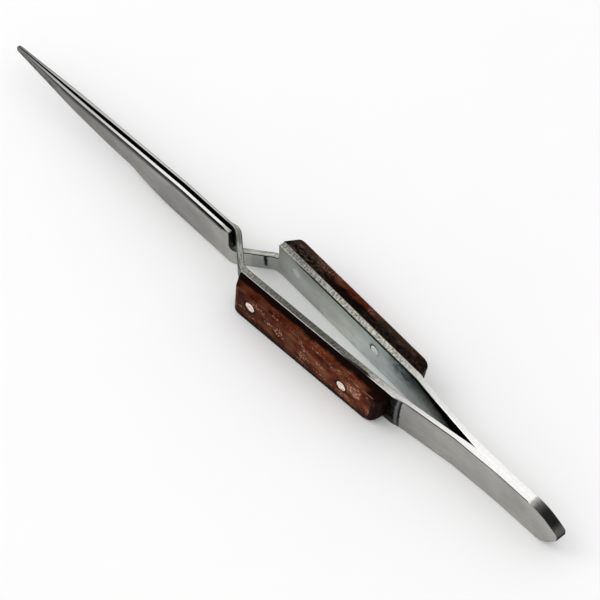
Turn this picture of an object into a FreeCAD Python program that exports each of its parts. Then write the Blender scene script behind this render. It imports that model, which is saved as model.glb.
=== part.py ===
import FreeCAD, Part
import math
import os
import re

import Sketcher

# Self-locking tweezers for soldering and small parts. Two strips of stainless steel are joined at the
# heel, cross each other at a notched neck and press their blades together by their own spring. Squeezing
# the two riveted grips opens the blades.
# Millimetres. X runs along the tweezers, from the tips at -X to the heel at +X. Y runs across the two
# arms. Z is the width of the strips, which lie on their lower edges at Z = 0. The origin is under the
# middle. A station is a distance from the tips along X, and a height is measured from the lower edges.

SIZES = [
    ("overall_length", 165.0, "tips to heel"),
    ("strip_width", 9.4, "width of both strips, along Z"),
    ("arm_thickness", 1.5, "steel at the grips"),
    ("ground_thickness", 1.25, "steel where it is ground, behind the grips"),
    ("heel_thickness", 1.2, "steel of one strip at the heel"),
    ("neck_thickness", 1.3, "steel of the slanting neck"),
    ("blade_thickness", 0.98, "steel of one blade from there to its root"),
    ("tip_thickness", 0.55, "steel of one blade at its tip"),
    ("crossing_station", 70.9, "where the two necks cross"),
    ("neck_angle", 38.0, "slant of the necks to X, degrees"),
    ("neck_height", 4.25, "what is left of the strip's width at the neck"),
    ("neck_root_radius", 3.6, "inside bend from blade to neck"),
    ("neck_elbow_radius", 4.2, "outside of that bend, upset and so no wider"),
    ("neck_arm_radius", 2.8, "inside bend from neck to arm"),
    ("notch_root_radius", 1.3, "round of the notch's corner at the blade"),
    ("neck_corner_radius", 0.9, "round of its corner at the arm"),
    ("notch_setback", 1.65, "rear end of the full blade, in front of the crossing"),
    ("notch_lead", 0.7, "front end of the full arm, behind the mouth"),
    ("blade_corner_radius", 0.6, "round on the blade's rear corner"),
    ("arm_corner_radius", 0.5, "round on the arm's front corner"),
    ("mouth_half_gap", 4.36, "centre plane to an arm's inner face at the neck"),
    ("arm_slope", 2.5, "slope of the arms towards the heel, degrees"),
    ("step_gap", 0.3, "from the grip's rear end to the arm's bend"),
    ("step_run", 1.5, "length of the run-out of the ground face"),
    ("sweep_run", 15.25, "from the bend to the corner of the long bend that joins the arms"),
    ("sweep_radius", 60.0, "inside radius of that bend"),
    ("sweep_outer_radius", 150.0, "outside radius of it, where the strips stay thicker"),
    ("blade_half_gap", 0.40, "centre plane to a blade's inner face at its root"),
    ("relief_half_gap", 0.33, "the same where the relief ends"),
    ("relief_station", 30.0, "end of the relief that opens behind the tips"),
    ("tip_pad_length", 2.0, "length of the tips' touching faces"),
    ("blade_full_station", 20.0, "where the blade has its full thickness"),
    ("blade_full_radius", 90.0, "round of the outer face there"),
    ("blade_bevel", 0.35, "bevel along the blade's outer edges"),
    ("tip_height", 5.35, "height of the middle of the tips"),
    ("tip_depth", 1.05, "depth of the blunt tips, along Z"),
    ("tip_radius", 0.42, "round of the tips"),
    ("top_taper_station", 54.0, "where the upper edge starts to fall"),
    ("top_knee_station", 24.5, "knee of the upper edge"),
    ("top_knee_height", 7.35, "height of that knee"),
    ("top_knee_radius", 90.0, "its round"),
    ("belly_station", 46.6, "corner of the rounded belly below"),
    ("belly_radius", 45.0, "its round"),
    ("shoulder_station", 38.5, "small shoulder on the lower edge"),
    ("shoulder_height", 2.2, "height of that shoulder"),
    ("shoulder_radius", 4.0, "its round"),
    ("toe_station", 31.5, "where the lower edge starts to rise to the tip"),
    ("toe_height", 2.3, "height of the lower edge there"),
    ("toe_radius", 12.0, "its round"),
    ("heel_top_run", 4.8, "corner of the heel's upper flank, from the end"),
    ("heel_top_radius", 11.0, "round of the upper flank"),
    ("heel_bottom_run", 4.0, "corner of the heel's lower flank, from the end"),
    ("heel_bottom_radius", 6.0, "round of the lower flank"),
    ("heel_nose_top", 6.6, "height of the upper flank at the end"),
    ("heel_nose_bottom", 5.0, "height of the lower flank at the end"),
    ("heel_nose_radius", 1.2, "round between flanks and end"),
    ("grip_front_station", 77.95, "front end of the grips"),
    ("grip_length", 42.9, "length of the grips along the arms"),
    ("grip_thickness", 3.2, "thickness of the grips"),
    ("grip_front_lean", 0.6, "how far the front end leans forward at its lower edge"),
    ("grip_rear_lean", 1.8, "how far the rear end leans forward at its lower edge"),
    ("grip_front_setback", 1.9, "slant of the front end seen from above"),
    ("grip_rear_setback", 0.6, "slant of the rear end seen from above"),
    ("grip_end_radius", 0.5, "round of the outer corners seen from above"),
    ("grip_bevel", 0.3, "bevel along the outer long edges"),
    ("grip_toe_radius", 0.7, "round of the grip's lower front corner"),
    ("grip_tail_radius", 1.9, "round of the grip's lower rear corner"),
    ("grip_brow_radius", 0.4, "round of the grip's upper front corner"),
    ("grip_upper_radius", 0.5, "round of the grip's upper rear corner"),
    ("rivet_near_front_inset", 6.05, "each rivet from its grip's front end, set by hand in the real one"),
    ("rivet_near_front_height", 5.8, "height of the same rivet"),
    ("rivet_near_rear_inset", 32.1, "the same"),
    ("rivet_near_rear_height", 4.9, "the same"),
    ("rivet_far_front_inset", 6.0, "the same"),
    ("rivet_far_front_height", 5.6, "the same"),
    ("rivet_far_rear_inset", 30.7, "the same"),
    ("rivet_far_rear_height", 5.4, "the same"),
    ("rivet_shank_diameter", 1.6, "shank of the rivets"),
    ("rivet_head_diameter", 2.9, "flush head in the grip"),
    ("rivet_head_depth", 0.6, "depth of that head"),
    ("rivet_tail_diameter", 2.3, "upset tail on the arm's inner face"),
    ("rivet_tail_height", 0.2, "height of the tail"),
    ("rivet_clearance", 0.04, "room round the rivets' shanks and heads"),
]

doc = FreeCAD.newDocument("tweezers")
sheet = doc.addObject("Spreadsheet::Sheet", "Sizes")
for row, (alias, size, meaning) in enumerate(SIZES, start=1):
    sheet.set(f"A{row}", alias)
    sheet.set(f"B{row}", str(size))
    sheet.set(f"C{row}", meaning)
    sheet.setAlias(f"B{row}", alias)
doc.recompute()


def bound(formula):
    """A formula with each size's name turned into its cell of the sheet."""
    return re.sub(r"[a-z]+(_[a-z]+)+", lambda name: "Sizes." + name.group(), formula)


def value(formula):
    """The present number of a formula of the sizes."""
    return float(sheet.evalExpression(bound(formula)))


# Lines that several pieces share, as formulas of the sizes.
# A neck runs through the crossing at the neck's angle. Its two faces lie half its thickness to either
# side, which measures NECK_REACH along X.
NECK_REACH = "neck_thickness/2/sin(neck_angle)"
MOUTH_STATION = f"(crossing_station + mouth_half_gap/tan(neck_angle) + {NECK_REACH})"
ARM_ACROSS = "arm_thickness/cos(arm_slope)"
SHOULDER_BACK = (
    f"(({ARM_ACROSS}/tan(neck_angle) - 2*{NECK_REACH})/(1 + tan(arm_slope)/tan(neck_angle)))"
)
BEND_STATION = "(grip_front_station + grip_length*cos(arm_slope) + step_gap)"
SWEEP_STATION = f"({BEND_STATION} + sweep_run)"
MIDDLE = "overall_length/2"


def inner_face(station):
    """Distance from the centre plane to an arm's inner face, along the grips."""
    return f"(mouth_half_gap - ({station} - {MOUTH_STATION})*tan(arm_slope))"


def outer_face(station):
    """The same to the arm's outer face, which the grip lies on."""
    return f"({inner_face(station)} + {ARM_ACROSS})"


def swept_face(station):
    """The same to the inner face behind the grips, before the long bend."""
    fall = f"({SWEEP_STATION} - {station})/sweep_run"
    return f"({inner_face(BEND_STATION)}*{fall})"


def side_name(side):
    """The word for a side: far is +Y, near is -Y."""
    return "far" if side > 0 else "near"


def rivet_name(side, place):
    """A rivet's name, which its own sizes begin with."""
    return f"rivet_{side_name(side)}_{place}"


def on_side(side, formula):
    """A formula of Y for the far side (1) or, mirrored, for the near side (-1)."""
    return formula if side > 0 else f"-({formula})"


def new_body(label):
    """An empty body with its label, which names its file."""
    body = doc.addObject("PartDesign::Body", label)
    body.Label = label
    return body


def new_sketch(body, role, name):
    """A sketch on one of the body's own origin planes."""
    sketch = body.newObject("Sketcher::SketchObject", name)
    plane = next(part for part in body.Origin.OriginFeatures if part.Role == role)
    sketch.AttachmentSupport = [(plane, "")]
    sketch.MapMode = "FlatFace"
    return sketch


def pin_point(sketch, geometry, position, x, y):
    """Hold a point of the sketch at two formulas of the sizes."""
    for kind, formula in (("DistanceX", x), ("DistanceY", y)):
        constraint = Sketcher.Constraint(kind, geometry, position, value(formula))
        index = sketch.addConstraint(constraint)
        sketch.setExpression(f"Constraints[{index}]", bound(formula))


def draw_outline(sketch, corners):
    """Draw a closed outline. A corner is (x, y), or (x, y, radius) where it is rounded."""
    points = [FreeCAD.Vector(value(corner[0]), value(corner[1])) for corner in corners]
    count = len(corners)
    arrivals = []
    departures = []
    arcs = {}
    for i, corner in enumerate(corners):
        here = points[i]
        back = (points[i - 1] - here).normalize()
        ahead = (points[(i + 1) % count] - here).normalize()
        if len(corner) < 3:
            arrivals.append(here)
            departures.append(here)
            continue
        radius = value(corner[2])
        half = back.getAngle(ahead) / 2
        arrivals.append(here + back * (radius / math.tan(half)))
        departures.append(here + ahead * (radius / math.tan(half)))
        inward = (back + ahead).normalize()
        centre = here + inward * (radius / math.sin(half))
        arc = Part.Arc(arrivals[i], centre - inward * radius, departures[i])
        arcs[i] = sketch.addGeometry(arc, False)
    lines = []
    for i in range(count):
        leg = Part.LineSegment(departures[i], arrivals[(i + 1) % count])
        lines.append(sketch.addGeometry(leg, False))
    for i, corner in enumerate(corners):
        before = lines[i - 1]
        after = lines[i]
        if i not in arcs:
            sketch.addConstraint(Sketcher.Constraint("Coincident", before, 2, after, 1))
            pin_point(sketch, after, 1, corner[0], corner[1])
            continue
        arc = arcs[i]
        start = sketch.getPoint(arc, 1)
        first, second = (1, 2) if start.distanceToPoint(arrivals[i]) < 1e-6 else (2, 1)
        sketch.addConstraint(Sketcher.Constraint("Tangent", before, 2, arc, first))
        sketch.addConstraint(Sketcher.Constraint("Tangent", arc, second, after, 1))
        index = sketch.addConstraint(Sketcher.Constraint("Radius", arc, value(corner[2])))
        sketch.setExpression(f"Constraints[{index}]", bound(corner[2]))
        mark = sketch.addGeometry(Part.Point(points[i]), True)
        sketch.addConstraint(Sketcher.Constraint("PointOnObject", mark, 1, before))
        sketch.addConstraint(Sketcher.Constraint("PointOnObject", mark, 1, after))
        pin_point(sketch, mark, 1, corner[0], corner[1])


def draw_circle(sketch, x, y, diameter):
    """Draw a circle about a point held by formulas of the sizes."""
    centre = FreeCAD.Vector(value(x), value(y))
    circle = Part.Circle(centre, FreeCAD.Vector(0, 0, 1), value(diameter) / 2)
    index = sketch.addGeometry(circle, False)
    pin_point(sketch, index, 3, x, y)
    constraint = sketch.addConstraint(Sketcher.Constraint("Diameter", index, value(diameter)))
    sketch.setExpression(f"Constraints[{constraint}]", bound(diameter))


def checked(body):
    """Work the body out and stop if its last feature failed or took nothing away."""
    doc.recompute()
    tip = body.Tip
    if "Invalid" in tip.State or "Error" in tip.State or not tip.Shape.isValid():
        raise RuntimeError(f"{body.Label}: {tip.Label} failed")
    base = tip.BaseFeature
    if tip.isDerivedFrom("PartDesign::Pocket") and base.Shape.Volume - tip.Shape.Volume < 0.01:
        raise RuntimeError(f"{body.Label}: {tip.Label} removed nothing")


def pad(body, sketch, name, length):
    """Raise a sketch to a length."""
    feature = body.newObject("PartDesign::Pad", name)
    feature.Profile = sketch
    feature.setExpression("Length", bound(length))
    checked(body)


def cut_through(body, sketch, name):
    """Cut a sketch through the whole body, both ways."""
    feature = body.newObject("PartDesign::Pocket", name)
    feature.Profile = sketch
    feature.Type = "ThroughAll"
    feature.SideType = "Symmetric"
    checked(body)


def cut_to_side_outline(body, corners):
    """Cut away all that lies outside the outline seen from the side."""
    sketch = new_sketch(body, "XZ_Plane", "SideOutline")
    margin = "strip_width"
    far_end = f"overall_length + {margin}"
    top = f"2*{margin}"
    draw_outline(sketch, [
        (f"-{margin}", f"-{margin}"),
        (far_end, f"-{margin}"),
        (far_end, top),
        (f"-{margin}", top),
    ])
    draw_outline(sketch, corners)
    cut_through(body, sketch, "SideTrim")


def bevel(body, name, edges, size):
    """Bevel the edges of the body's last feature that the test picks."""
    last = body.Tip
    names = [f"Edge{i}" for i, edge in enumerate(last.Shape.Edges, start=1) if edges(edge)]
    feature = body.newObject("PartDesign::Chamfer", name)
    feature.Base = (last, names)
    feature.setExpression("Size", bound(size))
    checked(body)


def is_lengthwise(edge):
    """Whether an edge runs mostly along X."""
    box = edge.BoundBox
    return box.XLength > 3 * max(box.YLength, box.ZLength)


# Arms: each is one stamped, notched, bent and ground strip, from the heel through the neck to its tip.
# It changes sides at the neck, so the arm on one side ends in the blade on the other.
def arm_plan(side):
    """Outline of a strip seen from above, for the arm on the given side."""
    shoulder = f"{MOUTH_STATION} + {SHOULDER_BACK}"
    step_end = f"({BEND_STATION} + step_run)"
    blade_outside = "(blade_half_gap + blade_thickness)"
    root_inside = f"crossing_station - blade_half_gap/tan(neck_angle) - {NECK_REACH}"
    root_outside = f"crossing_station - {blade_outside}/tan(neck_angle) + {NECK_REACH}"
    outline = [
        ("0", "0"),
        ("tip_pad_length", "0"),
        ("relief_station", "-relief_half_gap"),
        (root_inside, "-blade_half_gap", "neck_root_radius"),
        (shoulder, outer_face(f"({shoulder})"), "neck_arm_radius + neck_thickness"),
        (BEND_STATION, outer_face(BEND_STATION)),
        (step_end, f"{swept_face(step_end)} + ground_thickness"),
        (SWEEP_STATION, "heel_thickness", "sweep_outer_radius"),
        ("overall_length", "heel_thickness"),
        ("overall_length", "0"),
        (SWEEP_STATION, "0", "sweep_radius"),
        (BEND_STATION, inner_face(BEND_STATION)),
        (MOUTH_STATION, "mouth_half_gap", "neck_arm_radius"),
        (root_outside, f"-{blade_outside}", "neck_elbow_radius"),
        ("blade_full_station", f"-{blade_outside}", "blade_full_radius"),
        ("0", "-tip_thickness"),
    ]
    return [(corner[0], on_side(side, corner[1]), *corner[2:]) for corner in outline]


def arm_side(neck_on_top):
    """Outline of a strip seen from the side: blade taper, notch at the neck, rounded heel."""
    blade_end = "crossing_station - notch_setback"
    arm_front = f"{MOUTH_STATION} + notch_lead"
    ledge = "strip_width - neck_height" if neck_on_top else "neck_height"
    open_edge = "0" if neck_on_top else "strip_width"
    notch = [
        (blade_end, open_edge, "blade_corner_radius"),
        (blade_end, ledge, "notch_root_radius"),
        (arm_front, ledge, "neck_corner_radius"),
        (arm_front, open_edge, "arm_corner_radius"),
    ]
    top = [
        ("0", "tip_height + tip_depth/2", "tip_radius"),
        ("top_knee_station", "top_knee_height", "top_knee_radius"),
        ("top_taper_station", "strip_width"),
    ]
    heel = [
        ("overall_length - heel_top_run", "strip_width", "heel_top_radius"),
        ("overall_length", "heel_nose_top", "heel_nose_radius"),
        ("overall_length", "heel_nose_bottom", "heel_nose_radius"),
        ("overall_length - heel_bottom_run", "0", "heel_bottom_radius"),
    ]
    belly = [
        ("belly_station", "0", "belly_radius"),
        ("shoulder_station", "shoulder_height", "shoulder_radius"),
        ("toe_station", "toe_height", "toe_radius"),
        ("0", "tip_height - tip_depth/2", "tip_radius"),
    ]
    if neck_on_top:
        return top + heel + notch[::-1] + belly
    return top + notch + heel + belly


def make_arm(side, neck_on_top):
    """One strip: plan outline raised to the width, cut to the side outline, bevelled and drilled."""
    body = new_body(f"arm_{side_name(side)}")
    plan = new_sketch(body, "XY_Plane", "PlanOutline")
    draw_outline(plan, arm_plan(side))
    pad(body, plan, "StripWidth", "strip_width")
    cut_to_side_outline(body, arm_side(neck_on_top))

    blade_end = value("crossing_station - notch_setback")
    tip_outside = value("tip_thickness")
    root_outside = value("blade_half_gap + blade_thickness")

    def on_blade_outside(edge):
        middle = edge.valueAt((edge.FirstParameter + edge.LastParameter) / 2)
        share = min(middle.x / value("blade_full_station"), 1)
        outside = tip_outside + share * (root_outside - tip_outside)
        near_outside = abs(-side * middle.y - outside) < tip_outside / 2
        return is_lengthwise(edge) and middle.x < blade_end and near_outside

    bevel(body, "BladeBevel", on_blade_outside, "blade_bevel")

    holes = new_sketch(body, "XZ_Plane", "RivetHoles")
    turn = FreeCAD.Rotation(FreeCAD.Vector(0, -side, 0), value("arm_slope"))
    holes.AttachmentOffset = FreeCAD.Placement(FreeCAD.Vector(), turn)
    holes.setExpression("AttachmentOffset.Rotation.Angle", bound("arm_slope"))
    holes.setExpression("AttachmentOffset.Base.x", bound("grip_front_station"))
    seat = on_side(-side, outer_face("grip_front_station"))
    holes.setExpression("AttachmentOffset.Base.z", bound(seat))
    for place in ("front", "rear"):
        draw_circle(
            holes,
            f"{rivet_name(side, place)}_inset",
            f"{rivet_name(side, place)}_height",
            "rivet_shank_diameter + 2*rivet_clearance",
        )
    cut_through(body, holes, "RivetHoleCut")
    body.setExpression("Placement.Base.x", bound(f"-{MIDDLE}"))
    return body


def seat_on_arm(body, side, inset, height):
    """Place a body on an arm's outer face: its X runs along the face, its Y away from it or into it."""
    turn = FreeCAD.Rotation(FreeCAD.Vector(0, 0, -side), value("arm_slope"))
    body.Placement = FreeCAD.Placement(FreeCAD.Vector(), turn)
    along = f"grip_front_station + {inset}*cos(arm_slope) - {MIDDLE}"
    across = on_side(side, f"{outer_face('grip_front_station')} - {inset}*sin(arm_slope)")
    body.setExpression("Placement.Rotation.Angle", bound("arm_slope"))
    body.setExpression("Placement.Base.x", bound(along))
    body.setExpression("Placement.Base.y", bound(across))
    body.setExpression("Placement.Base.z", bound(height))


# Grips: flat slabs of varnished wood as wide as the strip, with slanted ends, bevelled long edges and a
# rounded tail, drilled and counterbored for two rivets.
def make_grip(side):
    """One grip, in its own frame: X along the arm from the front end, Y away from the arm's face."""
    body = new_body(f"grip_{side_name(side)}")
    plan = new_sketch(body, "XY_Plane", "PlanOutline")
    outline = [
        ("-grip_front_lean", "0"),
        ("grip_front_setback - grip_front_lean", "grip_thickness", "grip_end_radius"),
        ("grip_length - grip_rear_setback", "grip_thickness", "grip_end_radius"),
        ("grip_length", "0"),
    ]
    draw_outline(plan, [(corner[0], on_side(side, corner[1]), *corner[2:]) for corner in outline])
    pad(body, plan, "GripWidth", "strip_width")
    thickness = value("grip_thickness")

    def on_outer_edge(edge):
        box = edge.BoundBox
        return is_lengthwise(edge) and abs(side * box.Center.y - thickness) < 1e-3

    bevel(body, "LongBevels", on_outer_edge, "grip_bevel")
    cut_to_side_outline(body, [
        ("-grip_front_lean", "0", "grip_toe_radius"),
        ("grip_length - grip_rear_lean", "0", "grip_tail_radius"),
        ("grip_length", "strip_width", "grip_upper_radius"),
        ("0", "strip_width", "grip_brow_radius"),
    ])

    shanks = new_sketch(body, "XZ_Plane", "RivetHoles")
    heads = new_sketch(body, "XZ_Plane", "RivetHeads")
    head_floor = on_side(-side, "grip_thickness - rivet_head_depth")
    heads.setExpression("AttachmentOffset.Base.z", bound(head_floor))
    for place in ("front", "rear"):
        for sketch, diameter in ((shanks, "rivet_shank_diameter"), (heads, "rivet_head_diameter")):
            draw_circle(
                sketch,
                f"{rivet_name(side, place)}_inset",
                f"{rivet_name(side, place)}_height",
                f"{diameter} + 2*rivet_clearance",
            )
    cut_through(body, shanks, "RivetHoleCut")
    counterbore = body.newObject("PartDesign::Pocket", "RivetHeadCut")
    counterbore.Profile = heads
    counterbore.Type = "ThroughAll"
    counterbore.Reversed = side < 0
    checked(body)
    seat_on_arm(body, side, "0", "0")
    return body


# Rivets: a solid shank through grip and arm, with a head flush in the grip and an upset tail that stands
# a little proud of the arm's inner face.
def make_rivet(side, place):
    """One rivet, turned about its own Y axis."""
    body = new_body(rivet_name(side, place))
    profile = new_sketch(body, "XY_Plane", "HalfProfile")
    head_floor = "grip_thickness - rivet_head_depth"
    tail_end = "-(arm_thickness + rivet_tail_height)"
    outline = [
        ("0", "grip_thickness"),
        ("rivet_head_diameter/2", "grip_thickness"),
        ("rivet_head_diameter/2", head_floor),
        ("rivet_shank_diameter/2", head_floor),
        ("rivet_shank_diameter/2", "-arm_thickness"),
        ("rivet_tail_diameter/2", "-arm_thickness"),
        ("rivet_tail_diameter/2", tail_end, "0.75*rivet_tail_height"),
        ("0", tail_end),
    ]
    draw_outline(profile, [(corner[0], on_side(side, corner[1]), *corner[2:]) for corner in outline])
    turned = body.newObject("PartDesign::Revolution", "Turned")
    turned.Profile = profile
    turned.ReferenceAxis = (profile, ["V_Axis"])
    turned.Angle = 360
    checked(body)
    name = rivet_name(side, place)
    seat_on_arm(body, side, f"{name}_inset", f"{name}_height")
    return body


FAR = 1
NEAR = -1
subparts = [
    make_arm(FAR, neck_on_top=False),
    make_arm(NEAR, neck_on_top=True),
    make_grip(FAR),
    make_grip(NEAR),
]
for side in (FAR, NEAR):
    for place in ("front", "rear"):
        subparts.append(make_rivet(side, place))
doc.recompute()

for item in doc.Objects:
    if "Invalid" in item.State or "Error" in item.State:
        raise RuntimeError(f"{item.Label} failed: {item.State}")
for body in subparts:
    if body.Shape.isNull() or not body.Shape.isValid():
        raise RuntimeError(f"{body.Label} has no valid shape")

os.makedirs("parts", exist_ok=True)
for body in subparts:
    body.Shape.exportStep(f"parts/{body.Label}.step")
    box = body.Shape.BoundBox
    print(
        f"{body.Label}: {len(body.Shape.Solids)} solid, {body.Shape.Volume:.1f} mm3, "
        f"X {box.XMin:.2f} {box.XMax:.2f}, Y {box.YMin:.2f} {box.YMax:.2f}, Z {box.ZMin:.2f} {box.ZMax:.2f}"
    )
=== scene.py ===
import math

import bpy
import numpy as np
from mathutils import Matrix, Vector
from mathutils.geometry import delaunay_2d_cdt


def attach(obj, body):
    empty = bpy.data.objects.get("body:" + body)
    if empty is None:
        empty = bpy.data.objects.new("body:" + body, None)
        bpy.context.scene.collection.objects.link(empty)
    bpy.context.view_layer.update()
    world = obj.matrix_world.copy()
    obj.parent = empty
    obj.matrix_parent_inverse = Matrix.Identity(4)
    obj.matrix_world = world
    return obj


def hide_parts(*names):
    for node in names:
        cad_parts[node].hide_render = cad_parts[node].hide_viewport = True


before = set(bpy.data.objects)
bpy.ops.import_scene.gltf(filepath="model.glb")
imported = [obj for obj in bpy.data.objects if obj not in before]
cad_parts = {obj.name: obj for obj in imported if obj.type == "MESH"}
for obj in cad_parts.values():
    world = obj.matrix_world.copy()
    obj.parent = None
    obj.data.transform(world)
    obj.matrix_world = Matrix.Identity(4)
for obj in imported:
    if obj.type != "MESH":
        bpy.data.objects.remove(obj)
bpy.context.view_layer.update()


# Arms: two strips of stainless sheet, cut to the same blank, notched at the neck, bent to change sides
# and spot-welded at the heel. Faces are satin, edges are ground, and the blades' outer edges are
# bevelled. Sizes are in millimetres, and a station is a distance from the tips.
MM = 0.001
LENGTH = 165.0
WIDTH = 9.4
MIDDLE = LENGTH / 2
CROSSING = 70.9
NECK_ANGLE = math.radians(38.0)
NECK_THICKNESS = 1.3
NECK_HEIGHT = 4.25
MOUTH_HALF_GAP = 4.36
ARM_SLOPE = math.radians(2.5)
ARM_THICKNESS = 1.5
GROUND_THICKNESS = 1.25
HEEL_THICKNESS = 1.2
BLADE_HALF_GAP = 0.40
BLADE_THICKNESS = 0.98
TIP_THICKNESS = 0.55
GRIP_FRONT = 77.95
GRIP_LENGTH = 42.9
SWEEP_RUN = 15.25
EDGE_BREAK = 0.11
ARM_EDGE_BREAK = 0.17
HEEL_INNER_BREAK = 0.05
HEEL_OUTER_BREAK = 0.13
ROUND_SHARE = 1 - math.sqrt(0.5)
STRIP_STEP = 0.45
STRIP_ROW = 1.1
SEAM_STEP = 0.1

# Where each rivet sits: from the grip's front along it, and height.
RIVETS = {
    ("near", "front"): (6.05, 5.8),
    ("near", "rear"): (32.1, 4.9),
    ("far", "front"): (6.0, 5.6),
    ("far", "rear"): (30.7, 5.4),
}

NECK_REACH = NECK_THICKNESS / 2 / math.sin(NECK_ANGLE)
ARM_ACROSS = ARM_THICKNESS / math.cos(ARM_SLOPE)
MOUTH = CROSSING + MOUTH_HALF_GAP / math.tan(NECK_ANGLE) + NECK_REACH
SHOULDER = MOUTH + (ARM_ACROSS / math.tan(NECK_ANGLE) - 2 * NECK_REACH) / (
    1 + math.tan(ARM_SLOPE) / math.tan(NECK_ANGLE)
)
BEND = GRIP_FRONT + GRIP_LENGTH * math.cos(ARM_SLOPE) + 0.3
SWEEP = BEND + SWEEP_RUN

# Stations at which one finish ends and another starts, and the slots of the finishes.
BLADE_BACK = 69.2
CREASE_AT = 76.15
NECK_BACK = 78
SCRAPE_AT = 121.85
PATCH_BACK = 122.55
HEEL_ROUND = 156.6
OUTER, INNER, EDGE, BEVEL_CUT, DARK, INNER_LINE, OUTER_LINE, HEEL_END = range(8)

# Tones along the strips, as (station, level).
OUTER_TONES = [
    (0, 0.22), (10, 0.33), (20, 0.34), (30, 0.37), (40, 0.44), (52, 0.42), (60, 0.44), (66, 0.54),
    (78, 0.4), (123, 0.43), (130, 0.51), (164, 0.54),
]
# Inner face: its fall towards the heel is painted shade between the closing arms.
INNER_TONES = [
    (72, 0.34), (76, 0.46), (82, 0.64), (88, 0.66), (100, 0.88), (113, 0.9), (119, 0.8), (130, 0.75),
    (141, 0.12),
]
# Ground edges: painted reflection, dark at the tips and bright where the edge faces the light.
FAR_EDGE_TONES = [
    (3, 0.18), (14, 0.47), (26, 0.56), (36, 0.76), (54, 0.9), (66, 0.85), (69, 0.42), (76, 0.42),
    (79, 0.24), (84, 0.22), (94, 0.36), (116, 0.42), (123, 0.65), (140, 0.93),
]
NEAR_EDGE_TONES = [
    (3, 0.2), (14, 0.45), (40, 0.6), (64, 0.6), (70, 0.3), (77, 0.28), (82, 0.16), (92, 0.1),
    (104, 0.1), (112, 0.2), (118, 0.45), (130, 0.8), (140, 0.93),
]
# Notch and heel ends: painted shade, with a painted highlight on the heel's top that fades to painted
# shade as it rounds over.
END_SHADE_TONES = [
    (60, 0.1), (72, 0.1), (100, 0.9), (156.6, 0.9), (157.2, 0.45), (158.6, 0.1), (160.2, 0.02),
    (163.2, 0.015), (164.4, 0.1),
]
# Painted shade: the blades' faces in the gap between them, and the neck's edges and ends.
DARK_SHADE_TONES = [(0, 0.02), (60, 0.02), (69, 0.04), (80, 0.05)]
# Edge lines behind the neck: painted highlight along the outer edges, on the near arm broken by painted
# shadow beside its grip, and painted shade along the inner edges that lightens to the heel.
BRIGHT_LINE_TONES = [(78, 0.22), (110, 0.28), (116, 0.45), (124, 0.9)]
NEAR_LINE_TONES = [
    (78, 0.24), (96, 0.3), (105.5, 0.26), (108.5, 0.03), (113.9, 0.02), (115.1, 0.4), (121, 0.5),
    (125, 0.06), (156, 0.05),
]
DARK_LINE_TONES = [(78, 0.06), (118, 0.1), (126, 0.5), (140, 0.85)]
FAR_INNER_LINE_TONES = [(78, 0.32), (83, 0.25), (89, 0.04), (122, 0.04), (128, 0.5), (140, 0.9)]
# Blade bevels: painted dark reflection towards the upper edge.
NEAR_BEVEL_TONES = [(0, 0.055), (52, 0.055), (60, 0.022), (68, 0.01)]
FAR_BEVEL_TONES = [(0, 0.08), (68, 0.08)]

OUTER_TINT = (1, 0.99, 0.96)
INNER_TINT = (0.95, 1, 0.96)
COOL_TINT = (0.98, 1.0, 1.06)
EDGE_TINTS = ((1, 1, 1), (1, 0.99, 0.89))
# Neck streaks: dark stains, with painted highlights between them.
NECK_STAINS_AND_HIGHLIGHTS = ((0.48, 0.51, 0.46), (1.25, 1.3, 1.22))
SATIN_REFLECTION = (0.3, 0.3, 0.3, 1)
DULL_REFLECTION = (0.15, 0.15, 0.15, 1)
STAIN = (0.06, 0.06, 0.058)
HANDLED_TIP = (0.09, 0.095, 0.085)
UNPOLISHED = (0.014, 0.013, 0.012)
UNPOLISHED_CLOUD = (0.05, 0.048, 0.045)
UNPOLISHED_FOOT = (0.12, 0.12, 0.115)
SCRAPE = (0.24, 0.25, 0.25)
# Painted shade on the inner face: under its upper edge, and towards the joint.
SHADE_UNDER_EDGE = (0.012, 0.013, 0.014)
SHADE_TOWARDS_JOINT = (0.014, 0.017, 0.02)
SCUFF = (0.08, 0.1, 0.115)
# Painted shade in the crease across the far neck.
CREASE_SHADE = (0.015, 0.015, 0.015)
RIVET_RING = (0.03, 0.04, 0.045)
# Painted shadow of the gap between the near arm and its grip.
GRIP_GAP_SHADOW = (0.008, 0.007, 0.006)


def rounded(corners, closed):
    """Points of an outline through (x, y, radius) corners.

    A corner's arc touches both of its sides: it starts and ends radius / tan(half the corner's angle)
    away from the corner, about a centre radius / sin(half the angle) inward.
    """
    points = np.array([corner[:2] for corner in corners], float)
    outline = []
    for i, corner in enumerate(corners):
        radius = corner[2] if len(corner) > 2 else 0
        at_end = not closed and i in (0, len(corners) - 1)
        if radius == 0 or at_end:
            outline.append(points[i][None])
            continue
        back = points[i - 1] - points[i]
        ahead = points[(i + 1) % len(corners)] - points[i]
        back /= np.linalg.norm(back)
        ahead /= np.linalg.norm(ahead)
        half = math.acos(np.clip(back @ ahead, -1, 1)) / 2
        inward = (back + ahead) / np.linalg.norm(back + ahead)
        centre = points[i] + inward * radius / math.sin(half)
        start = points[i] + back * radius / math.tan(half) - centre
        end = points[i] + ahead * radius / math.tan(half) - centre
        turn = math.pi - 2 * half
        count = max(3, int(math.degrees(turn) / 6) + 2)
        part = np.linspace(0, 1, count)[:, None]
        arc = np.sin((1 - part) * turn) * start + np.sin(part * turn) * end
        outline.append(centre + arc / math.sin(turn))
    return np.concatenate(outline)


def inner_face(x):
    """Distance from the centre plane to the arm's inner face: it falls evenly with the arm's slope."""
    return MOUTH_HALF_GAP - (x - MOUTH) * math.tan(ARM_SLOPE)


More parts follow.
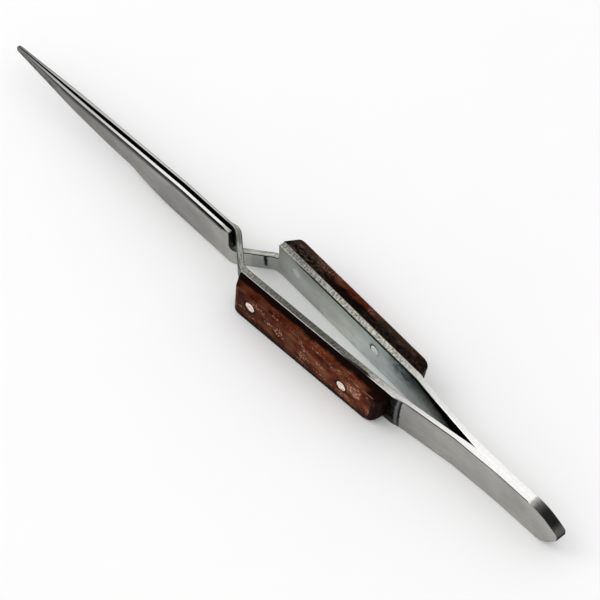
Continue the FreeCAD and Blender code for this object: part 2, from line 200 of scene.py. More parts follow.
def arm_faces():
    """The far arm's strip seen from above: y of its -Y face and of its +Y face along the stations.

    Each face runs straight along the blade, at the neck's angle across the middle, down the arm's slope
    and along the heel, with an arc at every corner.
    """
    blade_outside = BLADE_HALF_GAP + BLADE_THICKNESS
    step_end = BEND + 1.5
    swept = inner_face(BEND) * (SWEEP - step_end) / SWEEP_RUN
    minus = rounded([
        (0, 0.25 - TIP_THICKNESS),
        (0.45, -0.02 - TIP_THICKNESS, 0.3),
        (20.0, -blade_outside, 90),
        (CROSSING - blade_outside / math.tan(NECK_ANGLE) + NECK_REACH, -blade_outside, 4.2),
        (MOUTH, MOUTH_HALF_GAP, 2.8),
        (BEND, inner_face(BEND), 6),
        (SWEEP + 4.4, 0, 10),
        (LENGTH, 0),
    ], closed=False)
    plus = rounded([
        (0, 0),
        (2.0, 0),
        (30.0, -0.33, 60),
        (CROSSING - BLADE_HALF_GAP / math.tan(NECK_ANGLE) - NECK_REACH, -BLADE_HALF_GAP, 3.6),
        (SHOULDER, inner_face(SHOULDER) + ARM_ACROSS, 4.1),
        (BEND, inner_face(BEND) + ARM_ACROSS, 2),
        (step_end, swept + GROUND_THICKNESS),
        (SWEEP, HEEL_THICKNESS, 150),
        (LENGTH, HEEL_THICKNESS),
    ], closed=False)
    return minus, plus


def arm_outline(neck_on_top):
    """The strip seen from the side, clockwise from the tips along the top to the heel and back."""
    notch_front = CROSSING - 1.65
    notch_back = MOUTH + 0.7
    ledge = WIDTH - NECK_HEIGHT if neck_on_top else NECK_HEIGHT
    edge = 0.0 if neck_on_top else WIDTH
    notch = [
        (notch_front, edge, 0.6), (notch_front, ledge, 1.3),
        (notch_back, ledge, 0.9), (notch_back, edge, 0.5),
    ]
    top = [(0, 5.875, 0.42), (24.5, 7.35, 90), (54.0, WIDTH, 30)]
    heel = [(160.2, WIDTH, 11), (LENGTH, 6.6, 1.2), (LENGTH, 5.0, 1.2), (161.0, 0, 6)]
    belly = [(46.6, 0, 45), (38.5, 2.2, 4), (31.5, 2.3, 12), (0, 4.825, 0.42)]
    if neck_on_top:
        return rounded(top + heel + notch[::-1] + belly, closed=True)
    return rounded(top + notch + heel + belly, closed=True)


def step_counts(outline, step):
    """How many steps, none longer than given, go on each side of a closed outline."""
    lengths = np.linalg.norm(np.roll(outline, -1, axis=0) - outline, axis=1)
    return np.ceil(lengths / step).astype(int)


def subdivided(outline, counts):
    """A closed outline with each side cut into the given number of steps."""
    reach = np.repeat(np.roll(outline, -1, axis=0) - outline, counts, axis=0)
    first = np.repeat(np.cumsum(counts) - counts, counts)
    part = (np.arange(counts.sum()) - first) / np.repeat(counts, counts)
    return np.repeat(outline, counts, axis=0) + reach * part[:, None]


def outward(outline):
    """Outward normals of a closed clockwise outline: the run from neighbour to neighbour, turned left."""
    along = np.roll(outline, -1, axis=0) - np.roll(outline, 1, axis=0)
    normal = np.stack([-along[:, 1], along[:, 0]], axis=1)
    return normal / np.linalg.norm(normal, axis=1)[:, None]


def inside(edge, points, margin):
    """Which points lie inside a closed outline, and further than a margin from all its corners.

    A point is inside when a line from it towards +x crosses the outline an odd number of times.
    """
    ahead = np.roll(edge, -1, axis=0)
    x, y = points[:, :1], points[:, 1:]
    spans = (edge[:, 1] > y) != (ahead[:, 1] > y)
    rise = np.where(ahead[:, 1] == edge[:, 1], 1e-12, ahead[:, 1] - edge[:, 1])
    crossing = edge[:, 0] + (y - edge[:, 1]) * (ahead[:, 0] - edge[:, 0]) / rise
    within = (spans & (x < crossing)).sum(axis=1) % 2 == 1
    clear = np.min(np.hypot(x - edge[:, 0], y - edge[:, 1]), axis=1) > margin
    return within & clear


def ring_quads(rings, count):
    """Quads that join each closed ring of a stack to the next one."""
    ring = np.arange(count)
    after = np.roll(ring, -1)
    row = count * np.arange(rings - 1)[:, None]
    return np.stack([row + ring, row + after, row + count + after, row + count + ring], -1).reshape(-1, 4)


def put_in_scene(name, data):
    """A new object in the scene for a mesh, a lamp or a camera."""
    made = bpy.data.objects.new(name, data)
    bpy.context.scene.collection.objects.link(made)
    return made


def plate(name, rings, levels, place, columns, row):
    """Build a closed plate: two faces joined by a rim with worked edges.

    rings[k] is the closed outline of rim level k, at the share levels[k] of the way from the first face
    to the second. Each face is the triangulation of its own end of the rim with inner points in the
    given columns, a row apart. place(x, z, share) turns the flat plate into space. Returns the piece and
    the kind of each face: -1 or -2 for the two plate faces, or its strip's number on the rim.
    """
    depth, count = rings.shape[:2]
    outline = rings[depth // 2]
    shares = np.broadcast_to(np.asarray(levels, float).reshape(depth, -1), (depth, count))
    flat = [np.concatenate([rings.reshape(-1, 2), shares.reshape(-1, 1)], axis=1)]
    quads = ring_quads(depth, count)
    faces = quads.tolist()
    kinds = [np.repeat(np.arange(depth - 1), count)]
    ring = np.arange(count)
    base = depth * count
    rows = np.arange(outline[:, 1].min() + row, outline[:, 1].max(), row)
    for level, kind in ((0, -1), (depth - 1, -2)):
        edge = rings[level]
        grid = np.stack(np.meshgrid(columns, rows), axis=-1).reshape(-1, 2)
        grid = grid[inside(edge, grid, row * 0.45)]
        corners = np.concatenate([edge, grid])
        links = np.stack([ring, np.roll(ring, -1)], 1).tolist()
        made = delaunay_2d_cdt(corners.tolist(), links, [], 1, 1e-6)
        assert len(made[0]) == len(corners), f"{name}: the face's outline crosses itself"
        triangles = np.array(made[2])
        a, b, c = (corners[triangles[:, k]] for k in range(3))
        turn = (b[:, 0] - a[:, 0]) * (c[:, 1] - a[:, 1]) - (b[:, 1] - a[:, 1]) * (c[:, 0] - a[:, 0])
        wrong = turn < 0 if level == 0 else turn > 0
        triangles[wrong] = triangles[wrong][:, ::-1]
        index = np.concatenate([level * count + ring, base + np.arange(len(grid))])
        faces += index[triangles].tolist()
        kinds.append(np.full(len(triangles), kind))
        flat.append(np.column_stack([grid, np.full(len(grid), shares[level, 0])]))
        base += len(grid)
    flat = np.concatenate(flat)
    space = place(flat[:, 0], flat[:, 1], flat[:, 2])
    data = bpy.data.meshes.new(name)
    data.from_pydata((space * MM).tolist(), [], faces)
    lay_out(data, flat, space[: depth * count].reshape(depth, count, 3), outline, len(quads))
    return put_in_scene(name, data), np.concatenate(kinds)


def lay_out(data, flat, rim, outline, rim_faces):
    """Write the plate's flat layout in millimetres as its UV map.

    A plate face keeps x and z. On the rim, x is the length run along the outline and y the length run
    across the rim from the first face.
    """
    count = len(outline)
    vertex = np.empty(len(data.loops), int)
    data.loops.foreach_get("vertex_index", vertex)
    layout = flat[vertex, :2]
    rim_vertex = vertex[: rim_faces * 4]
    around = np.concatenate([[0], np.cumsum(np.linalg.norm(np.diff(outline, axis=0), axis=1))])
    run = around[rim_vertex % count].reshape(-1, 4)
    run[:, 1:3] = np.where(run[:, 1:3] < run[:, :1] - 1e-9, run[:, :1] + SEAM_STEP, run[:, 1:3])
    across = np.cumsum(np.linalg.norm(np.diff(rim, axis=0), axis=2), axis=0)
    across = np.concatenate([np.zeros((1, count)), across]).reshape(-1)
    layout[: len(rim_vertex)] = np.stack([run.reshape(-1), across[rim_vertex]], 1)
    data.uv_layers.new(name="Blank").data.foreach_set("uv", layout.astype(np.float32).reshape(-1))


def smoothed(values):
    """Running mean over five neighbours of a closed row."""
    padded = np.concatenate([values[-2:], values, values[:2]])
    return np.convolve(padded, np.ones(5) / 5, mode="valid")


def worked_edge(outline, plain, ground_depth):
    """How far the edge on the blade's outside is ground back, across the face and into the thickness.

    The blade's upper edge has a long shallow bevel that fades towards the tip, its lower edge a small
    one, and everything behind the blade only a broken edge. The third result is the share of both at
    which the edge's middle lies: near a half it is a bevel, at the round share it is an arc.
    """
    facing = outward(outline)[:, 1]
    x = outline[:, 0]
    on_blade = x < BLADE_BACK - 1
    on_top = (facing > 0.8) & on_blade
    below = (facing < -0.8) & on_blade
    long_bevel = np.interp(x, (0, 6, 20, 60), (0.2, 0.4, 0.85, 1.05))
    deep = np.interp(x, (0, 6, 20, 30, 48), (0.12, 0.3, 0.48, 0.45, ground_depth))
    across = np.where(on_top, long_bevel, np.where(below, 0.3, plain))
    into = np.where(on_top, deep, np.where(below, 0.2, plain))
    return smoothed(across), smoothed(into), smoothed(np.where(on_top | below, 0.42, ROUND_SHARE))


def face_vectors(piece, kind):
    """Middle or normal of each face, as the kind says."""
    found = np.empty(len(piece.data.polygons) * 3)
    piece.data.polygons.foreach_get(kind, found)
    return found.reshape(-1, 3)


def arm_slots(piece, kinds):
    """Which material each face of a strip takes, in the order of the slot names above.

    Kind -1 is the face on the blade's outside and the arm's inside, -2 is the other face. Rim strips 0
    and 1 border the first face, 2 is the edge itself, 3 and 4 border the other face.
    """
    station = face_vectors(piece, "center")[:, 0] / MM + MIDDLE
    upright = np.abs(face_vectors(piece, "normal")[:, 0]) > 0.6
    on_rim = kinds >= 0
    first_border = on_rim & (kinds < 2)
    other_border = kinds > 2
    slot = np.full(len(kinds), OUTER)
    slot[(kinds == -1) & (station > 73.5)] = INNER
    # DARK takes painted shade: the blades' faces in the gap between them, and the neck's edges and ends.
    slot[(kinds == -2) & (station < 71.0)] = DARK
    slot[on_rim] = EDGE
    slot[first_border & (station < BLADE_BACK)] = BEVEL_CUT
    slot[other_border & (station < NECK_BACK)] = DARK
    slot[first_border & (station > BLADE_BACK) & (station < NECK_BACK)] = DARK
    # The edge lines behind the neck take painted highlight and painted shade.
    slot[first_border & (station > NECK_BACK)] = INNER_LINE
    slot[other_border & (station > NECK_BACK)] = OUTER_LINE
    slot[on_rim & upright & (station > 60) & (station < 80)] = DARK
    # HEEL_END takes painted shade on the blades' ends at the notch and on the heel's rounded end.
    slot[(kinds == 2) & upright & (station > 60) & (station < 70.5)] = HEEL_END
    slot[on_rim & (station > HEEL_ROUND)] = HEEL_END
    return slot


def cover(piece, materials, slot):
    """Give a piece its materials, and each face its slot."""
    for material in materials:
        piece.data.materials.append(material)
    piece.data.polygons.foreach_set("material_index", slot)


def shade_by_angle(piece, degrees):
    """Smooth faces that meet at less than the angle, and keep sharper edges crisp."""
    data = piece.data
    data.polygons.foreach_set("use_smooth", np.ones(len(data.polygons), bool))
    data.set_sharp_from_angle(angle=math.radians(degrees))


def make_arm(name, side, neck_on_top, ground_depth, materials):
    """One strip: the plate of its side outline, bent to its faces as they are seen from above.

    At a share s of the thickness, y is that of the -Y face plus s times the gap to the +Y face.
    """
    minus, plus = arm_faces()
    outline = arm_outline(neck_on_top)
    outline = subdivided(outline, step_counts(outline, STRIP_STEP))

    def place(x, z, share):
        low = np.interp(x, minus[:, 0], minus[:, 1])
        high = np.interp(x, plus[:, 0], plus[:, 1])
        y = low + (high - low) * share
        return np.stack([x - MIDDLE, side * y, z], axis=1)

    x = outline[:, 0]
    gap = np.interp(x, plus[:, 0], plus[:, 1]) - np.interp(x, minus[:, 0], minus[:, 1])
    plain, outside = (
        np.interp(x, (67, 71, 134, 142), (EDGE_BREAK, ARM_EDGE_BREAK, ARM_EDGE_BREAK, at_heel))
        for at_heel in (HEEL_INNER_BREAK, HEEL_OUTER_BREAK)
    )
    across, into, halfway = worked_edge(outline, plain, ground_depth)
    none = 0 * plain
    rounded_off = outside * ROUND_SHARE
    insets = np.stack([across, across * halfway, none, none, rounded_off, outside])
    levels = np.stack([
        none, into * halfway / gap, into / gap, 1 - outside / gap, 1 - rounded_off / gap, 1 + none,
    ])
    columns = np.unique(np.concatenate([
        np.arange(start, end, step)
        for start, end, step in (
            (64, 82, 0.3), (118, 150, 0.8), (1, 64, 1.2), (82.5, 118, 1.5), (150, 164, 1.2),
        )
    ]))
    rings = outline[None] - outward(outline)[None] * insets[..., None]
    piece, kinds = plate(name, rings, levels, place, columns, STRIP_ROW)
    if side < 0:
        piece.data.flip_normals()
    cover(piece, materials, arm_slots(piece, kinds))
    shade_by_angle(piece, 14)
    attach(piece, "root")
    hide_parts(name)


def new_material(name):
    """A material with its tree and its shader."""
    material = bpy.data.materials.new(name)
    material.use_nodes = True
    tree = material.node_tree
    return material, tree, tree.nodes["Principled BSDF"]


def node(tree, kind, inputs=None, **settings):
    """Add a node, set its settings, and fill its inputs with numbers or other nodes' outputs."""
    made = tree.nodes.new(kind)
    for name, setting in settings.items():
        setattr(made, name, setting)
    for name, given in (inputs or {}).items():
        if isinstance(given, bpy.types.NodeSocket):
            tree.links.new(given, made.inputs[name])
        else:
            made.inputs[name].default_value = given
    return made


def blank_layout(tree):
    """Coordinates of the flat layout, in millimetres."""
    return node(tree, "ShaderNodeUVMap", uv_map="Blank").outputs["UV"]


def object_place(tree):
    """Coordinates in the frame of the tweezers, in metres."""
    return node(tree, "ShaderNodeTexCoord").outputs["Object"]


def axis(tree, vector, letter):
    """One of a vector's three numbers."""
    return node(tree, "ShaderNodeSeparateXYZ", {"Vector": vector}).outputs[letter]


def noise(tree, vector, scale, detail=3.0, roughness=0.55):
    """Noise between 0 and 1, with so many cells to a unit of the coordinates."""
    inputs = {"Vector": vector, "Scale": scale, "Detail": detail, "Roughness": roughness}
    return node(tree, "ShaderNodeTexNoise", inputs).outputs["Fac"]


def stretched_noise(tree, vector, scale, detail=3.0, roughness=0.55):
    """Noise whose cells are stretched differently along each axis."""
    inputs = {"Vector": vector, "Scale": scale}
    mapped = node(tree, "ShaderNodeMapping", inputs).outputs["Vector"]
    return noise(tree, mapped, 1.0, detail, roughness)


def arithmetic(tree, operation, first, second=0.0):
    """One step of arithmetic on two values."""
    return node(tree, "ShaderNodeMath", {0: first, 1: second}, operation=operation).outputs[0]


def times(tree, *values):
    """Product of values."""
    product = values[0]
    for value in values[1:]:
        product = arithmetic(tree, "MULTIPLY", product, value)
    return product


def total(tree, first, second):
    """Sum of two values."""
    return arithmetic(tree, "ADD", first, second)


def larger(tree, first, second):
    """The larger of two values."""
    return arithmetic(tree, "MAXIMUM", first, second)


def distance(tree, value, centre):
    """How far a value is from a number."""
    return arithmetic(tree, "ABSOLUTE", arithmetic(tree, "SUBTRACT", value, centre))


def spread(tree, value, low, high, to_low, to_high):
    """Map a range of a value to another range, and hold it at the ends."""
    inputs = {"Value": value, "From Min": low, "From Max": high, "To Min": to_low, "To Max": to_high}
    return node(tree, "ShaderNodeMapRange", inputs).outputs["Result"]


def between(tree, along, start, full, fade, end):
    """1 from the full station to the fade station, falling to 0 at the start and at the end."""
    rise, fall = (
        spread(tree, along, (low - MIDDLE) * MM, (high - MIDDLE) * MM, *ends)
        for low, high, ends in ((start, full, (0, 1)), (fade, end, (1, 0)))
    )
    return times(tree, rise, fall)


def mixed(tree, factor, first, second, blend="MIX"):
    """Mix two colours, each a triple or another node's output."""
    made = node(tree, "ShaderNodeMix", {0: factor}, data_type="RGBA", blend_type=blend)
    for index, given in ((6, first), (7, second)):
        if isinstance(given, bpy.types.NodeSocket):
            tree.links.new(given, made.inputs[index])
        else:
            made.inputs[index].default_value = (*given, 1)
    return made.outputs[2]


def tinted(tree, first, second):
    """Product of two colours."""
    return mixed(tree, 1.0, first, second, "MULTIPLY")


def grey(tree, value):
    """A value as a grey colour."""
    return node(tree, "ShaderNodeCombineXYZ", {"X": value, "Y": value, "Z": value}).outputs["Vector"]


def along_strip(tree, stops):
    """A grey that changes along the tweezers, through (station, level) stops."""
    share = spread(tree, axis(tree, object_place(tree), "X"), -MIDDLE * MM, MIDDLE * MM, 0, 1)
    ramp = node(tree, "ShaderNodeValToRGB", {"Fac": share})
    elements = ramp.color_ramp.elements
    elements.remove(elements[1])
    for index, (station, level) in enumerate(stops):
        position = station / LENGTH
        stop = elements[0] if index == 0 else elements.new(position)
        stop.position = position
        stop.color = (level, level * 0.99, level * 0.965, 1)
    return ramp.outputs["Color"]


def finish_with(tree, shader, colour, marks, low, high, marks_low=0.3, marks_high=0.7):
    """Link the colour, and let marks vary the roughness between two values."""
    tree.links.new(colour, shader.inputs["Base Color"])
    tree.links.new(spread(tree, marks, marks_low, marks_high, low, high), shader.inputs["Roughness"])


def emboss(tree, shader, marks, strength, height):
    """Let marks roughen the surface, up to a height in metres."""
    bump = node(tree, "ShaderNodeBump", {"Height": marks, "Strength": strength, "Distance": height})
    tree.links.new(bump.outputs["Normal"], shader.inputs["Normal"])


def steel_face_material(name, stops, tint, smudges, details):
    """Satin face: fine brushing along the strip, soft cloudy tone and a few darker smudges.

    details(tree, x, z, wave, colour) adds what only this face has: x is the station and z the height
    in millimetres, wave is a noise that makes borders uneven.
    """
    material, tree, shader = new_material(name)
    blank = blank_layout(tree)
    brushing = stretched_noise(tree, blank, (0.5, 9, 1), 5)
    clouds = stretched_noise(tree, blank, (0.12, 0.3, 1), 3)
    tone = tinted(tree, along_strip(tree, stops), tint)
    cloudy = spread(tree, clouds, 0.3, 0.7, 0.84, 1.1)
    streaky = spread(tree, brushing, 0.3, 0.7, 0.88, 1.1)
    tone = tinted(tree, tone, grey(tree, times(tree, cloudy, streaky)))
    stain = stretched_noise(tree, blank, (0.35, 0.5, 1), 6, 0.7)
    colour = mixed(tree, spread(tree, stain, 0.58, 0.72, 0, smudges), tone, STAIN)
    wave = stretched_noise(tree, blank, (0.7, 0.7, 1), 4, 0.65)
    colour = details(tree, axis(tree, blank, "X"), axis(tree, blank, "Y"), wave, colour)
    finish_with(tree, shader, colour, brushing, 0.28, 0.42, 0.25, 0.75)
    emboss(tree, shader, brushing, 0.25, 0.00002)
    shader.inputs["Metallic"].default_value = 1.0
    shader.inputs["Specular Tint"].default_value = SATIN_REFLECTION
    return material


def outer_details(tree, x, z, wave, colour):
    """A tip dulled by use, and behind the grip a dark patch that the polishing wheel missed, scraped."""
    handled = times(tree, spread(tree, wave, 0.42, 0.56, 0, 0.6), spread(tree, x, 11, 17, 1, 0))
    colour = mixed(tree, handled, colour, HANDLED_TIP)
    from_middle = total(tree, z, -WIDTH / 2)
    bowed = times(tree, from_middle, from_middle, -0.013)
    slanted = total(tree, total(tree, x, times(tree, z, -0.09)), bowed)
    uneven = total(tree, slanted, times(tree, wave, 0.6))
    up_to_back = spread(tree, uneven, PATCH_BACK, PATCH_BACK + 0.3, 1, 0)
    patch = times(tree, up_to_back, spread(tree, x, 118, 119, 0, 1))
    scrape = times(tree, spread(tree, distance(tree, uneven, SCRAPE_AT), 0.15, 0.5, 0.75, 0), patch)
    dull = mixed(tree, spread(tree, wave, 0.4, 0.66, 0, 1), UNPOLISHED, UNPOLISHED_CLOUD)
    dull = mixed(tree, spread(tree, z, 0.6, 2.6, 0.8, 0), dull, UNPOLISHED_FOOT)
    colour = mixed(tree, patch, colour, dull)
    return mixed(tree, scrape, colour, SCRAPE)


def inner_details(tree, x, z, wave, colour):
    """What darkens the inner face: painted shade as a black border under its upper edge and towards the
    joint, and scuffs.

    The border of painted shade widens to the heel along a curve, and the painted shade towards the joint
    fades with depth below the upper edge.
    """
    depth = arithmetic(tree, "SUBTRACT", WIDTH, z)
    reach = node(tree, "ShaderNodeFloatCurve", {"Value": spread(tree, x, 84, 142, 0, 1)})
    curve = reach.mapping.curves[0]
    curve.points[0].location = (0, 0.05)
    curve.points[1].location = (1, 1)
    for position, width in ((0.45, 0.055), (0.6, 0.08), (0.72, 0.17), (0.85, 0.5)):
        curve.points.new(position, width)
    reach.mapping.update()
    wide = times(tree, reach.outputs["Value"], 11.0)
    share = arithmetic(tree, "DIVIDE", total(tree, depth, times(tree, wave, -0.3)), wide)
    # Painted shade: a black border under the upper edge.
    border_shade = times(tree, spread(tree, share, 0.5, 1.0, 0.98, 0), spread(tree, x, 82, 85, 0, 1))
    colour = mixed(tree, border_shade, colour, SHADE_UNDER_EDGE)
    blurred = total(tree, depth, spread(tree, wave, 0.3, 0.7, -1.1, 1.1))
    # Painted shade towards the joint, fading with depth below the upper edge.
    joint_shade = times(tree, spread(tree, blurred, 2.2, 6.8, 0.82, 0), spread(tree, x, 111, 120, 0.05, 1))
    colour = mixed(tree, joint_shade, colour, SHADE_TOWARDS_JOINT)
    zone = times(
        tree,
        spread(tree, x, 112, 116, 0, 1),
        spread(tree, x, 119, 123, 1, 0),
        spread(tree, z, 3.0, 6.5, 0.1, 1),
    )
    scuff = times(tree, spread(tree, wave, 0.44, 0.56, 0, 0.85), zone)
    cool = times(tree, spread(tree, x, 100, 110, 0, 1), spread(tree, x, 116, 124, 1, 0.2))
    colour = mixed(tree, cool, colour, tinted(tree, colour, COOL_TINT))
    return mixed(tree, scuff, colour, SCUFF)


def round_spot(tree, x, z, centre_x, centre_z, inner, outer):
    """1 up to the inner radius round a point, fading to 0 at the outer one."""
    aside, above = (
        arithmetic(tree, "POWER", total(tree, value, -centre), 2.0)
        for value, centre in ((x, centre_x), (z, centre_z))
    )
    away = arithmetic(tree, "SQRT", total(tree, aside, above))
    return spread(tree, away, inner, outer, 1, 0)


def far_inner_details(tree, x, z, wave, colour):
    """The inner face's details, painted shade in a crease across the far neck and a dark ring round the
    rear rivet.
    """
    colour = inner_details(tree, x, z, wave, colour)
    # Painted shade in the crease across the far neck.
    from_crease = distance(tree, total(tree, x, times(tree, wave, 0.8)), CREASE_AT)
    crease_shade = times(tree, spread(tree, from_crease, 0.18, 0.4, 0.97, 0), spread(tree, z, 0.6, 1.4, 0, 1))
    colour = mixed(tree, crease_shade, colour, CREASE_SHADE)
    inset, height = RIVETS[("far", "rear")]
    ring = round_spot(tree, x, z, GRIP_FRONT + inset - 0.25, height + 0.12, 1.25, 1.65)
    return mixed(tree, times(tree, ring, 0.85), colour, RIVET_RING)


def steel_edge_material(name, stops, speckle, gap_shadowed=False):
    """Ground edge: a tone along the strip painted as reflection, grinding marks across it, strongest
    beside the grips, and streaks along the neck of dark stains and painted highlight.

    Beside the grip, painted shadow from the gap between arm and grip runs in and ends short of its rear.
    """
    material, tree, shader = new_material(name)
    blank = blank_layout(tree)
    along = axis(tree, object_place(tree), "X")
    slant = {"Vector": blank, "Rotation": (0, 0, 0.3), "Scale": (2.4, 1.1, 1)}
    slanted = node(tree, "ShaderNodeMapping", slant)
    marks = noise(tree, slanted.outputs["Vector"], 1.0, 5, 0.72)
    beside_grip = between(tree, along, 74, 80, 114, 122)
    low = spread(tree, beside_grip, 0, 1, 0.93, 1 - speckle)
    high = spread(tree, beside_grip, 0, 1, 1.03, 1 + speckle)
    speckled = spread(tree, marks, 0.38, 0.62, low, high)
    warm = mixed(tree, beside_grip, *EDGE_TINTS)
    colour = tinted(tree, tinted(tree, along_strip(tree, stops), warm), grey(tree, speckled))
    # Streaks along the neck: dark stains with painted highlight between them.
    streaks = spread(tree, stretched_noise(tree, blank, (0.3, 1.9, 1), 4, 0.6), 0.42, 0.58, 0, 1)
    streaked = tinted(tree, colour, mixed(tree, streaks, *NECK_STAINS_AND_HIGHLIGHTS))
    colour = mixed(tree, between(tree, along, 65.5, 69.5, 76, 79), colour, streaked)
    # Painted shadow of the gap between arm and grip.
    if gap_shadowed:
        reach = times(tree, 0.62, between(tree, along, 104.0, 113.2, 113.5, 115.9))
        across = total(tree, axis(tree, blank, "Y"), reach)
        run = spread(tree, across, ARM_THICKNESS + 0.02, ARM_THICKNESS + 0.1, 0, 0.97)
        colour = mixed(tree, run, colour, GRIP_GAP_SHADOW)
    finish_with(tree, shader, colour, marks, 0.25, 0.45)
    emboss(tree, shader, marks, 0.3, 0.00004)
    shader.inputs["Metallic"].default_value = 1.0
    return material


def steel_dull_material(name, stops, rough=0.3):
    """Dull steel for painted shade and painted highlight: marks along the strip over a tone that changes
    along it.
    """
    material, tree, shader = new_material(name)
    marks = stretched_noise(tree, blank_layout(tree), (0.8, 4, 1), 5)
    colour = tinted(tree, along_strip(tree, stops), grey(tree, spread(tree, marks, 0.3, 0.7, 0.7, 1.3)))
    finish_with(tree, shader, colour, marks, rough - 0.06, rough + 0.06)
    shader.inputs["Metallic"].default_value = 1.0
    shader.inputs["Specular Tint"].default_value = DULL_REFLECTION
    return material


def steel_bevel_material(name, face_tone, dark_stops, fade):
    """Ground shoulder of a blade: the face's tone at its border, darkening to the upper edge as a painted
    dark reflection.
    """
    material, tree, shader = new_material(name)
    blank = blank_layout(tree)
    marks = stretched_noise(tree, blank, (0.5, 6, 1), 5)
    uneven = total(tree, axis(tree, blank, "Y"), spread(tree, marks, 0.3, 0.7, -0.12, 0.12))
    darkening = spread(tree, uneven, 0, fade, 0, 1)
    colour = mixed(tree, darkening, (face_tone,) * 3, along_strip(tree, dark_stops))
    finish_with(tree, shader, colour, marks, 0.3, 0.42)
    shader.inputs["Metallic"].default_value = 1.0
    shader.inputs["Specular Tint"].default_value = DULL_REFLECTION
    return material


outer_steel = steel_face_material("steel_outer_face", OUTER_TONES, OUTER_TINT, 0.15, outer_details)
inner_steel = steel_face_material("steel_inner_face", INNER_TONES, INNER_TINT, 0.3, inner_details)
far_inner_steel = steel_face_material(
    "steel_inner_face_far", INNER_TONES, INNER_TINT, 0.3, far_inner_details,
)
# Painted shade in the gap between the blades and on the neck's edges.
shade_steel = steel_dull_material("steel_painted_shade", DARK_SHADE_TONES, 0.5)
# Painted highlight and painted shade on the notch and heel ends.
end_shade_steel = steel_dull_material("steel_end_faces_painted_shade", END_SHADE_TONES, 0.4)
make_arm("arm_far", 1, False, 0.3, [
    outer_steel,
    far_inner_steel,
    steel_edge_material("steel_edge_far_strip", FAR_EDGE_TONES, 0.75),
    steel_bevel_material("steel_bevel_near_blade", 0.25, NEAR_BEVEL_TONES, 0.55),
    shade_steel,
    # Edge lines of painted shade and painted highlight.
    steel_dull_material("steel_edge_inner", FAR_INNER_LINE_TONES),
    steel_dull_material("steel_edge_bright", BRIGHT_LINE_TONES),
    end_shade_steel,
])
make_arm("arm_near", -1, True, 0.55, [
    outer_steel,
    inner_steel,
    steel_edge_material("steel_edge_near_strip", NEAR_EDGE_TONES, 0.6, gap_shadowed=True),
    steel_bevel_material("steel_bevel_far_blade", 0.1, FAR_BEVEL_TONES, 0.3),
    shade_steel,
    # Edge lines of painted shade and painted highlight.
    steel_dull_material("steel_edge_dark", DARK_LINE_TONES),
    steel_dull_material("steel_edge_bright_near", NEAR_LINE_TONES),
    end_shade_steel,
])


# Grips: slabs of dense red-brown wood under a thick varnish, riveted flat to the arms. Outer edges are
# bevelled, the ends slant, the lower rear corner is rounded off and the lower front corner leans forward.
GRIP_THICKNESS = 3.2
FRONT_LEAN = 0.6
REAR_LEAN = 1.8
GRIP_BEVEL = 0.3
BEVEL_SOFTNESS = 0.12
FRONT_SETBACK = 1.9
REAR_SETBACK = 0.6
FRONT_ROUND = 0.6
REAR_ROUND = 1.3
CROWN = 0.1
GRIP_STEP = 0.4
GRIP_ROW = 0.9
# Where the painted highlight runs along the grip's upper edge.
HIGHLIGHT_FROM, HIGHLIGHT_TO = 34.0, 41.5
HEAD_RADIUS = 1.45

DEEP_RED = (0.03, 0.004, 0.002)
RED_BROWN = (0.088, 0.0185, 0.0062)
ORANGE_BROWN = (0.17, 0.061, 0.027)
HAZE = (0.13, 0.072, 0.039)
GRAIN = (0.02, 0.004, 0.003)
SMOKED = (0.036, 0.027, 0.019)
NEARLY_BLACK = (0.0035, 0.0012, 0.0008)
DUST = (0.065, 0.05, 0.036)
REDDER_TINT = (1.04, 0.83, 0.76)
# Pale flecks where the varnish broke: real cracks, painted as glints.
FLECK_GLINT = (0.7, 0.36, 0.25)
HAIR = (0.42, 0.19, 0.13)
SEAT_SHADOW = (0.008, 0.004, 0.003)
SCORED = (0.75, 0.45, 0.36)
# Painted highlight along the grip's upper edge near its rear, pale in places.
HIGHLIGHT_DARK = (0.07, 0.018, 0.01)
HIGHLIGHT_PALE = (0.34, 0.16, 0.11)


def on_arm(side, x, away, z):
    """Points given along an arm's outer face and away from it, turned by the arm's slope."""
    along = GRIP_FRONT + x * math.cos(ARM_SLOPE) + away * math.sin(ARM_SLOPE)
    seat = inner_face(GRIP_FRONT) + ARM_ACROSS
    across = seat - x * math.sin(ARM_SLOPE) + away * math.cos(ARM_SLOPE)
    return np.stack([along - MIDDLE, side * across, z], axis=1)


def rounding(height, radius):
    """How far a rounded end has drawn back at a height above the arm, for a quarter round on top."""
    over = max(0, height - (GRIP_THICKNESS - radius))
    return radius - math.sqrt(radius * radius - min(over, 0.97 * radius) ** 2)


